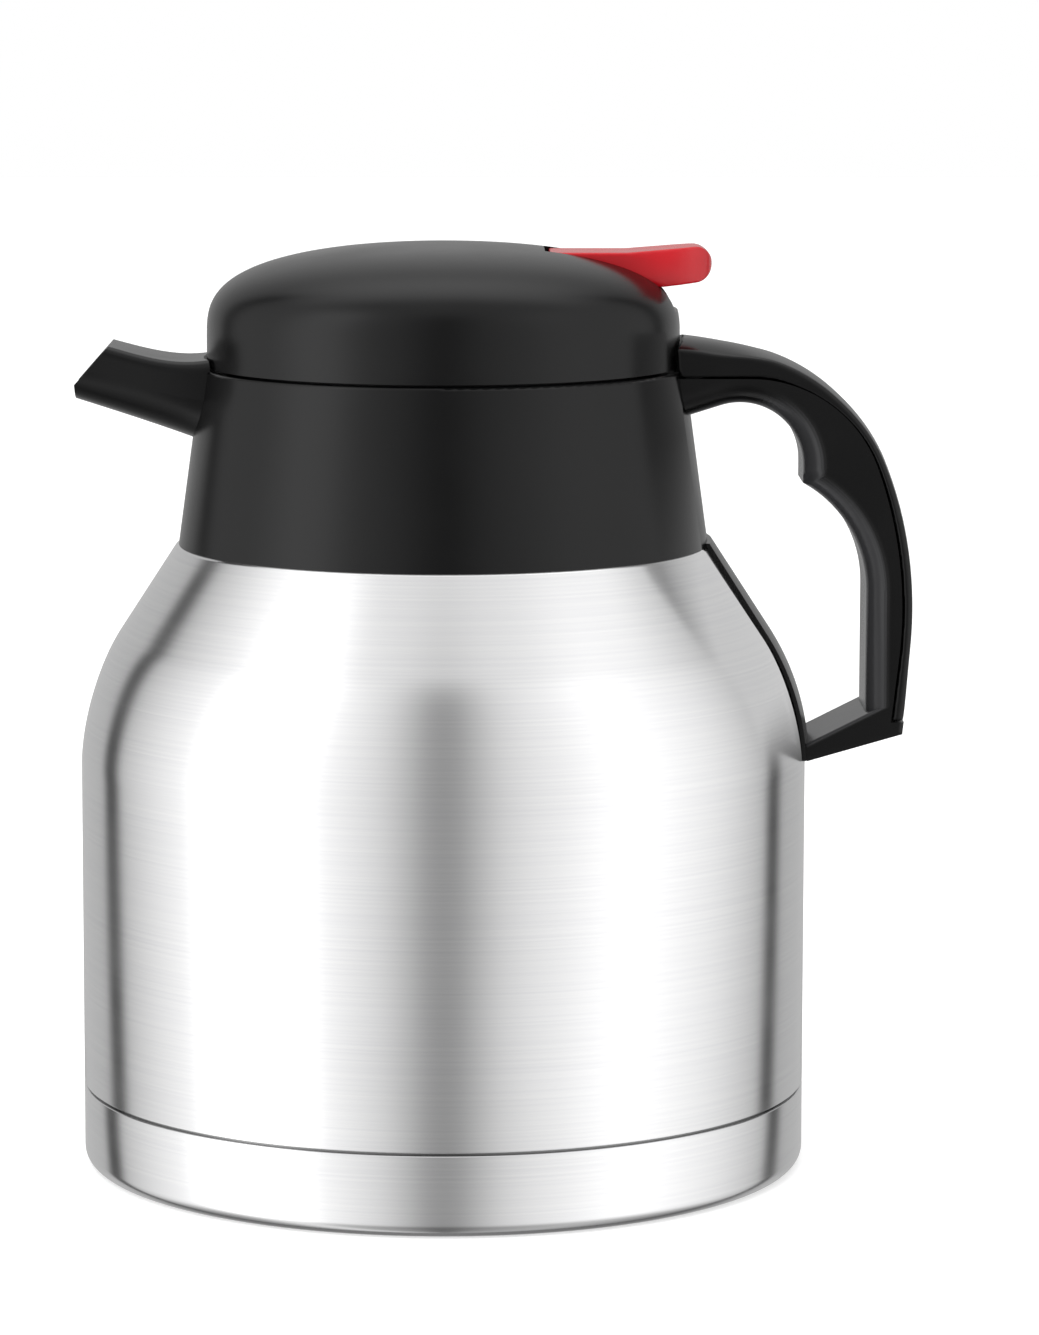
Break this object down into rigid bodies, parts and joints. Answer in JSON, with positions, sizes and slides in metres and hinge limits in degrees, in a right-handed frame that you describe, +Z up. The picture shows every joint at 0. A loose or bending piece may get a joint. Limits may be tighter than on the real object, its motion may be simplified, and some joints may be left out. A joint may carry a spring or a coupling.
{
  "type": "thermal jug",
  "caption": "Steel vacuum jug with a conical shoulder, black collar with a spout, a looped handle, and a domed screw-in lid with a red press-to-pour lever.",
  "frame": {"origin": "on the jug's axis, at the plane of the foot's standing ring", "axes": "+Z up along the axis, +X towards the handle, -X towards the spout"},
  "size_m": [0.1665, 0.145, 0.1847],
  "materials": {
    "shell_steel": "satin, brushed round the body",
    "liner_steel": "satin",
    "metal_grey": "dull",
    "black_plastic": "fine satin grain",
    "stopper_plastic": "satin",
    "red_plastic": "gloss",
    "silicone": "matt",
    "hardware_steel": "bright"
  },
  "bodies": {
    "jug": {"outer_shell": "shell_steel", "inner_flask": "liner_steel", "vacuum_base": "liner_steel", "vacuum_plug": "metal_grey", "getter": "metal_grey", "base_cup": "shell_steel", "neck_gasket": "silicone", "neck_collar": "black_plastic", "spout": "black_plastic", "handle_strap": "black_plastic", "handle_body": "black_plastic", "handle_cover": "black_plastic", "handle_screws": "hardware_steel"},
    "lid_seal": {"stopper_seal": "silicone"},
    "lid": {"lid_cover": "black_plastic", "stopper": "stopper_plastic", "stopper_base": "stopper_plastic", "lid_o_ring": "silicone", "stem_seal": "silicone", "seal_retainer": "hardware_steel", "lever_pin": "hardware_steel", "valve_spring": "hardware_steel"},
    "lever": {"lever": "red_plastic"},
    "valve": {"valve_stem": "stopper_plastic", "stem_cap": "stopper_plastic", "valve_seal": "silicone"}
  },
  "joints": [
    {"name": "lid_rise", "type": "slide", "parent": "jug", "child": "lid_seal", "axis": [0, 0, 1], "range_m": [0, 0.04]},
    {"name": "lid_turn", "type": "hinge", "parent": "lid_seal", "child": "lid", "pos_m": [0, 0, 0.16], "axis": [0, 0, 1], "range_deg": [0, 720]},
    {"name": "lever_press", "type": "hinge", "parent": "lid", "child": "lever", "pos_m": [0.024, 0, 0.17744], "axis": [0, 1, 0], "range_deg": [0, 10], "stiffness_Nm_per_rad": 0.4, "springref_deg": -17.19},
    {"name": "valve_slide", "type": "slide", "parent": "lid", "child": "valve", "axis": [0, 0, 1], "range_m": [0, 0.0043], "deforming": ["valve_spring"]}
  ],
  "couplings": [
    {"joint": "lid_rise", "follows": "lid_turn", "m_per_rad": 0.0031831},
    {"joint": "valve_slide", "follows": "lever_press", "m_per_rad": 0.0241}
  ]
}
